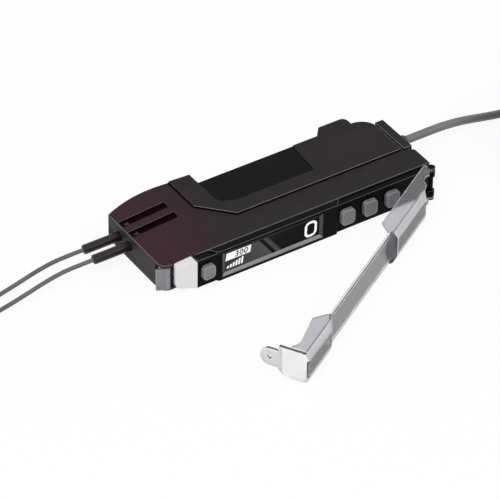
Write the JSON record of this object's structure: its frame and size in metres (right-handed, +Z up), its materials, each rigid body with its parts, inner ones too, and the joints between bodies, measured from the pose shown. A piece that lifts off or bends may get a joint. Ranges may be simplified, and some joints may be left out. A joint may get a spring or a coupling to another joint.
{
  "type": "fibre optic sensor amplifier",
  "caption": "Slim rail-mounted fibre sensor amplifier with a display, push buttons, a fibre lock lever and a clear hinged dust cover, lying on its side with its fibres and cable coiled.",
  "frame": {"origin": "on the flat side it lies on, on the middle line of the housing", "axes": "+X to the cable end, -Y to the display, +Y to the rail, +Z up from the side it lies on"},
  "size_m": [0.2073, 0.105, 0.0132],
  "materials": {
    "housing": "satin",
    "label": "satin",
    "frame": "gloss",
    "window": "gloss",
    "display": "gloss",
    "board": "satin",
    "switch": "satin",
    "button": "satin",
    "lamp": "satin",
    "led": "gloss",
    "lever": "satin",
    "steel": "satin",
    "clamp": "satin",
    "optic": "satin",
    "sleeve": "satin",
    "bush": "matte",
    "cover": "gloss",
    "fibre": "satin",
    "head": "satin",
    "cable": "satin",
    "copper": "satin"
  },
  "bodies": {
    "amplifier": {"lower_shell": "housing", "upper_shell": "housing", "label_plate": "label", "front_frame": "frame", "display_window": "window", "display_module": "display", "switch_board": "board", "tact_switches": "switch", "main_board": "board", "status_lamp": "lamp", "lamp_led": "led", "lever_pin": "steel", "optic_block": "optic", "light_emitter": "led", "light_receiver": "led", "fibre_sleeve_1": "sleeve", "fibre_sleeve_2": "sleeve", "end_cap": "housing", "cable_bush": "bush", "fibre_1": "fibre", "fibre_1_coil": "fibre", "fibre_1_head": "head", "fibre_2": "fibre", "fibre_2_coil": "fibre", "fibre_2_head": "head", "cable": "cable", "cable_coil": "cable", "cable_cores": "copper"},
    "cover": {"dust_cover": "cover"},
    "lever": {"lock_lever": "lever"},
    "clamp": {"fibre_clamp": "clamp"},
    "lamp_button": {"lamp_button": "button"},
    "button_1": {"button_1": "button"},
    "button_2": {"button_2": "button"},
    "button_3": {"button_3": "button"}
  },
  "joints": [
    {"name": "cover_hinge", "type": "hinge", "parent": "amplifier", "child": "cover", "pos_m": [0.038, -0.0146, 0.0049], "axis": [0, 0, 1], "range_deg": [-31.5, 78.5]},
    {"name": "lever_hinge", "type": "hinge", "parent": "amplifier", "child": "lever", "pos_m": [-0.0369, -0.0109, 0.0045], "axis": [0, 0, 1], "range_deg": [0, 75]},
    {"name": "clamp_slide", "type": "slide", "parent": "amplifier", "child": "clamp", "axis": [0, -1, 0], "range_m": [0, 0.0003]},
    {"name": "lamp_button_press", "type": "slide", "parent": "amplifier", "child": "lamp_button", "axis": [0, 1, 0], "range_m": [0, 0.0004], "stiffness_N_per_m": 500},
    {"name": "button_1_press", "type": "slide", "parent": "amplifier", "child": "button_1", "axis": [0, 1, 0], "range_m": [0, 0.0004], "stiffness_N_per_m": 500},
    {"name": "button_2_press", "type": "slide", "parent": "amplifier", "child": "button_2", "axis": [0, 1, 0], "range_m": [0, 0.0004], "stiffness_N_per_m": 500},
    {"name": "button_3_press", "type": "slide", "parent": "amplifier", "child": "button_3", "axis": [0, 1, 0], "range_m": [0, 0.0004], "stiffness_N_per_m": 500}
  ],
  "couplings": [
    {"joint": "lever_hinge", "follows": "clamp_slide", "rad_per_m": 4363.3}
  ]
}
